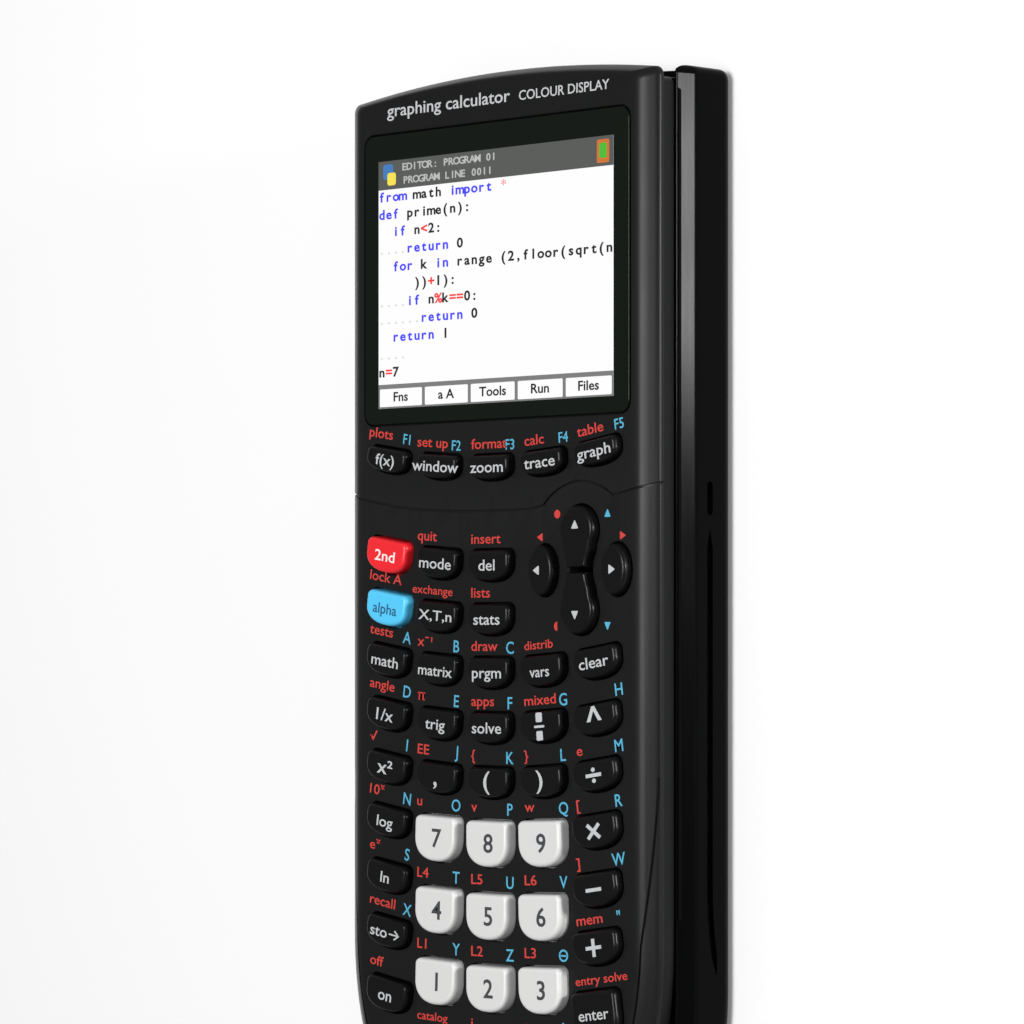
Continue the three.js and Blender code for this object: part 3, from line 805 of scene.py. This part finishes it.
def screenPicture():
    width, height, middle = display["width"], display["height"], screenCentre
    left, top, bottom = -width / 2, middle + height / 2, middle - height / 2
    sheet("screenPage", width, height, 0, middle, 0.02, "screenWhite")
    sheet("statusBar", width, 5.0, 0, top - 2.5, 0.04, "screenGrey")
    sheet("tabStrip", width, 4.2, 0, bottom + 2.1, 0.04, "screenTab")
    tabs = Shell()
    names = ["Fns", "a A", "Tools", "Run", "Files"]
    z = display["top"] + 0.06
    for k, word in enumerate(names):
        tab = rectangle(width / 5 - 0.75, 3.1, 0.2, left + width * (k + 0.5) / 5, bottom + 1.85, 2)
        tabs.post(tab, z - 0.01, z)
    build("tabBoxes", tabs, "screenWhite", flat=True)
    icon = Shell()
    icon.post(rectangle(2.6, 2.6, 0.5, left + 2.5, top - 1.9), z - 0.01, z)
    build("iconBack", icon, "screenSky", flat=True)
    icon = Shell()
    icon.post(rectangle(2.2, 2.2, 0.5, left + 3.4, top - 3.2), z, z + 0.01)
    build("iconFront", icon, "screenYellow", flat=True)
    sheet("chargeFrame", 2.9, 3.9, left + width - 2.4, top - 2.5, 0.06, "screenOrange", 0.3)
    sheet("chargeLevel", 1.7, 2.5, left + width - 2.4, top - 2.4, 0.08, "screenGreen", 0.15)
    inks = {name: Shell() for name in ("screenBlack", "screenBlue", "screenRed", "screenPale", "screenFaint")}
    colours = {"k": "screenBlack", "b": "screenBlue", "r": "screenRed", "f": "screenFaint"}
    listing = [
        [(0, "b", "from"), (5, "k", "math"), (10, "b", "import"), (17, "r", "*")],
        [(0, "b", "def"), (4, "k", "prime(n):")],
        [(2, "b", "if"), (5, "k", "n"), (6, "r", "<"), (7, "k", "2:")],
        [(0, "f", "...."), (4, "b", "return"), (11, "k", "0")],
        [(2, "b", "for"), (6, "k", "k"), (8, "b", "in"), (11, "k", "range"), (17, "k", "(2,floor(sqrt(n")],
        [(5, "k", "))"), (7, "r", "+"), (8, "k", "1):")],
        [(0, "f", "...."), (4, "b", "if"), (7, "k", "n"), (8, "r", "%"), (9, "k", "k"), (10, "r", "=="),
         (12, "k", "0:")],
        [(0, "f", "......"), (6, "b", "return"), (13, "k", "0")],
        [(2, "b", "return"), (9, "k", "1")],
        [(0, "f", "....")],
        [(0, "k", "n"), (1, "r", "="), (2, "k", "7")]]
    for row, runs in enumerate(listing):
        y = display["firstLine"] - row * display["pitch"]
        for start, colour, text in runs:
            for k, letter in enumerate(text):
                x = left + (start + k + 0.5) * display["cell"]
                if x < left + width - 0.5:
                    write(inks[colours[colour]], letter, x, y - 0.75, z, display["size"], align="centre",
                          stretch=display["stretch"], thick=0.01, weight=0.028)
    for text, y, start in (("EDITOR: PROGRAM 01", top - 1.9, 3.2), ("PROGRAM LINE 0011", top - 4.2, 3.4)):
        for k, letter in enumerate(text):
            x = left + (start + 0.5) * display["cell"] + k * 1.32
            write(inks["screenPale"], letter, x, y, z + 0.02, 1.75, align="centre", stretch=1.25,
                  thick=0.01, weight=0.02)
    for k, word in enumerate(names):
        x = left + width * (k + 0.5) / 5
        write(inks["screenBlack"], word, x, bottom + 1.2, z + 0.02, 2.3, align="centre", stretch=1.25,
              thick=0.01, weight=0.02)
    for name, shell in inks.items():
        build("text" + name[6:], shell, name, flat=True)


displayWindow()
screenPicture()
print("display made")


# The slide cover, stored on the back.
cover = dict(  # edge is the radius along the back, arch that of the open end
    edge=2.6, flare=-0.48, endDraw=1.4, arch=380.0, bowlFrom=-60.0,
    wall=[(4.5, -0.48), (8.5, -0.48), (8.9, -0.46), (9.2, -0.4), (9.45, -0.31), (9.65, -0.22), (12.15, 0.93),
          (12.37, 1.0), (12.52, 1.06), (12.6, 1.14)],
    inset=1.2, lip=11.6, slit=dict(z=6.0, high=25.0, low=-57.0, bridge=(16.8, 19.3), width=1.4, depth=0.8))


def coverOutline(side, end=0.0):
    return caseLoop(side, end, max(side, 0), cover["arch"], cover["bowlFrom"])


def coverSolid():  # the outer form as one closed body
    shell = Shell()
    radius, flare = cover["edge"], cover["flare"]
    rings = []
    for k in range(9):
        turn = math.pi / 2 * k / 8
        draw = 1 - math.sin(turn)
        outline = coverOutline(flare + radius * draw, cover["endDraw"] * draw)
        rings.append(shell.ring(outline, radius - radius * math.cos(turn)))
    rings += [shell.ring(coverOutline(side), z) for z, side in cover["wall"]]
    shell.stack(rings)
    return shell


def coverHollow():  # what the shell leaves free, open at the display end
    shell = Shell()
    inset, start = cover["inset"], cover["bowlFrom"]
    shell.stack([shell.ring(caseLoop(inset + lift, -12, inset + lift, bowlFrom=start), z) for z, lift in
                 [(1.9, 3.4), (1.95, 2.3), (2.3, 1.2), (3.1, 0.4), (4.3, 0), (14, 0)]])
    return shell


def slitCutter(side, high, low, curl=0.0):  # a slot along the wall, its lower end curling towards the back
    s = cover["slit"]
    shell = Shell()
    steps = 24
    half = s["width"] / 2
    x0 = side * (case["halfWidth"] + 0.45 - s["depth"])
    x1 = side * (case["halfWidth"] + 3)
    rings = []
    for k in range(steps + 1):
        t = k / steps
        y = high + (low - high) * t
        z = s["z"] - curl * max(0.0, (t - 0.8) / 0.2) ** 2
        end = min(t, 1 - t) * (high - low)
        h = half * math.sqrt(max(0.02, 1 - max(0.0, 1 - end / half) ** 2)) if end < half else half
        rings.append(shell.ring([(x0, y), (x1, y), (x1, y), (x0, y)], [z - h, z - h, z + h, z + h]))
    shell.stack(rings)
    return shell


def makeCover():
    piece = build("slideCoverShell", coverSolid(), "cover", "cover", ["slide_cover"], sharp=40)
    s = cover["slit"]
    cutters = [coverHollow()]
    for side in (1, -1):
        cutters.append(slitCutter(side, s["high"], s["bridge"][1]))
        cutters.append(slitCutter(side, s["bridge"][0], s["low"], 1.6))
    carve(piece, *cutters)
    paint(piece, "cover")
    smooth(piece, 35)
    lips = Shell()
    for side in (1, -1):
        x = side * (case["halfWidth"] - case["sideStep"] - 1 + case["gap"] + 0.75)
        lips.post(rectangle(1.5, 138, 0.5, x, 21), cover["lip"] - 0.7, cover["lip"] + 0.7)
    build("coverLips", lips, "cover", "cover", flat=True)


makeCover()
print("slide cover made")


# The rear case, the battery door and the screws.
rear = dict(bosses=[(28, 87.8), (32.2, 21.5), (17, -84.5)], bossRadius=2.15, cup=1.95, door=(42, 62, 2.5),
            doorY=45)
bossSpots = [(sign * x, y) for x, y in rear["bosses"] for sign in (1, -1)]


def rearCase():
    shell = Shell()
    step, back, parting, wall = case["sideStep"], case["back"], case["parting"], case["wall"]
    floorTop = back + wall
    outer = [shell.ring(caseLoop(step + side), z) for side, z in
             [(1.6, back), (0.9, back + 0.15), (0.4, back + 0.5), (0.1, back + 1.0), (0, back + 1.6),
              (0, parting - 0.15), (0.15, parting)]]
    inner = [shell.ring(caseLoop(step + wall), z) for z in (parting, floorTop)]
    shell.bridge(*outer, *inner)
    doorLoop = rectangle(*rear["door"], y=rear["doorY"])
    low = shell.ring(doorLoop, back)
    high = shell.ring(doorLoop, floorTop)
    shell.bridge(high, low)
    cups, posts = [], []
    for x, y in bossSpots:
        mouth = shell.ring(circle(rear["cup"], 28, x, y), back)
        deep = shell.ring(circle(rear["cup"], 28, x, y), back + 2.2)
        shell.bridge(deep, mouth)
        shell.cap(deep, up=False)
        cups.append(mouth)
        foot = shell.ring(circle(rear["bossRadius"], 28, x, y), floorTop)
        head = shell.ring(circle(rear["bossRadius"], 28, x, y), 10.7)
        shell.bridge(foot, head)
        shell.cap(head)
        posts.append(foot)
    shell.plane(outer[0], [low, *cups], up=False)
    shell.plane(inner[-1], [high, *posts])
    piece = build("rearCaseShell", shell, "rear", replaces=["rear_case"], sharp=40)
    socket = Shell()
    socket.post(rectangle(8.7, 14, 1.0, 20, 95.4), 11.9, 17)
    grooves = []
    for side in (1, -1):
        groove = Shell()
        groove.post(rectangle(4, 170, 0.3, side * 37, 15, 1), cover["lip"] - 1, cover["lip"] + 1)
        grooves.append(groove)
    carve(piece, socket, *grooves)
    paint(piece, "rear")
    smooth(piece, 40)


def crossLoop(arm, half):
    return [(half, -half), (arm, -half), (arm, half), (half, half), (half, arm), (-half, arm), (-half, half),
            (-arm, half), (-arm, -half), (-half, -half), (-half, -arm), (half, -arm)]


def addScrew(shell, x, y, face, radius):  # its head faces down
    loop = circle(radius, 28, x, y)
    rings = [shell.ring(loop, face + 0.9), shell.ring(loop, face + 0.25),
             shell.ring(grown(loop, -0.25), face)]
    shell.bridge(*reversed(rings))
    shell.cap(rings[0])
    cross = placed(crossLoop(radius * 0.62, radius * 0.14), x, y, 0.4)
    mouth, deep = shell.ring(cross, face), shell.ring(cross, face + 0.6)
    shell.bridge(deep, mouth)
    shell.cap(deep, up=False)
    shell.plane(rings[-1], [mouth], up=False)


def batteryDoor():
    shell = Shell()
    width, height, corner = rear["door"]
    loop = rectangle(width - 0.6, height - 0.6, corner - 0.3, y=rear["doorY"])
    back = case["back"]
    rings = [shell.ring(loop, back + 1.5), shell.ring(loop, back + 0.25),
             shell.ring(grown(loop, -0.25), back)]
    shell.bridge(*reversed(rings))
    shell.cap(rings[0])
    y = rear["doorY"] - height / 2 + 5
    mouth, deep = shell.ring(circle(1.9, 28, 0, y), back), shell.ring(circle(1.9, 28, 0, y), back + 0.9)
    shell.bridge(deep, mouth)
    shell.cap(deep, up=False)
    shell.plane(rings[-1], [mouth], up=False)
    build("batteryDoorPanel", shell, "rear", replaces=["battery_door"], sharp=40)
    screws = Shell()
    addScrew(screws, 0, y, back + 0.05, 1.5)
    for x, yy in bossSpots:
        addScrew(screws, x, yy, back + 1.1, 1.7)
    build("caseScrews", screws, "screwBlack", flat=True)


rearCase()
batteryDoor()
print("rear case made")


# The pieces inside keep their solids.
insides = dict(circuit_board="board", key_mat="silicone", display_module="panel", battery_pack="battery",
               usb_socket="steel")
for node, finish in insides.items():
    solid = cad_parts[node]
    solid.data.materials.clear()
    solid.data.materials.append(finishes[finish].material)
    for polygon in solid.data.polygons:
        polygon.material_index = 0
bpy.data.objects.remove(writer)


# The floor, the light and the camera.
studio = dict(floor=(0.82, 0.82, 0.82), floorGlow=0.12, world=0.27)


def floorSheet():
    shell = Shell()
    steps = 12
    size = 4200.0
    for i in range(steps + 1):
        for j in range(steps + 1):
            shell.points.append((size * (i / steps - 0.5), size * (j / steps - 0.5), -0.05))
    for i in range(steps):
        for j in range(steps):
            a = i * (steps + 1) + j
            shell.faces.append((a, a + steps + 1, a + steps + 2, a + 1))
    made = Finish("floorPaper", Roughness=0.8)
    made.feed(Base_Color=made.mixed(made.noise(3, 2), studio["floor"], tint(studio["floor"], 1.02)))
    made.feed(Emission_Color=(1.0, 1.0, 1.0), Emission_Strength=studio["floorGlow"])
    finishes["floor"] = made
    floor = build("studioFloor", shell, "floor", body=None, flat=True)


def lamp(name, place, target, size, power, colour=(1, 1, 1)):
    data = bpy.data.lights.new(name, "AREA")
    data.shape, data.size, data.size_y, data.energy, data.color = "RECTANGLE", size[0], size[1], power, colour
    made = bpy.data.objects.new(name, data)
    bpy.context.scene.collection.objects.link(made)
    made.location = place
    made.rotation_euler = (Vector(target) - Vector(place)).to_track_quat("-Z", "Y").to_euler()
    return made


floorSheet()
world = bpy.data.worlds.new("studioWorld")
bpy.context.scene.world = world
world.use_nodes = True
world.node_tree.nodes["Background"].inputs["Color"].default_value = (1, 1, 1, 1)
world.node_tree.nodes["Background"].inputs["Strength"].default_value = studio["world"]
lamp("overhead", (0.2, 0.14, 1.05), (0.03, 0.03, 0.02), (0.35, 0.4), 10)
lamp("sideStrip", (0.86, 0.15, 0.06), (0.04, 0.07, 0.012), (0.12, 0.09), 4.2)


camera = bpy.data.objects.new("camera", bpy.data.cameras.new("camera"))
bpy.context.scene.collection.objects.link(camera)
camera.data.sensor_width = 36
camera.data.lens = 150.33
camera.data.shift_y = 0.1227
camera.data.clip_start, camera.data.clip_end = 0.05, 20
forward, right, up = Vector((-0.7175, 0, -0.6965)), Vector((0.6965, 0, -0.7175)), Vector((0, 1, 0))
camera.matrix_world = Matrix((
    (right.x, up.x, -forward.x, 0.5245), (right.y, up.y, -forward.y, -0.001),
    (right.z, up.z, -forward.z, 0.5241), (0, 0, 0, 1)))
bpy.context.scene.camera = camera
bpy.context.scene.view_settings.view_transform = "Standard"
print("studio made")
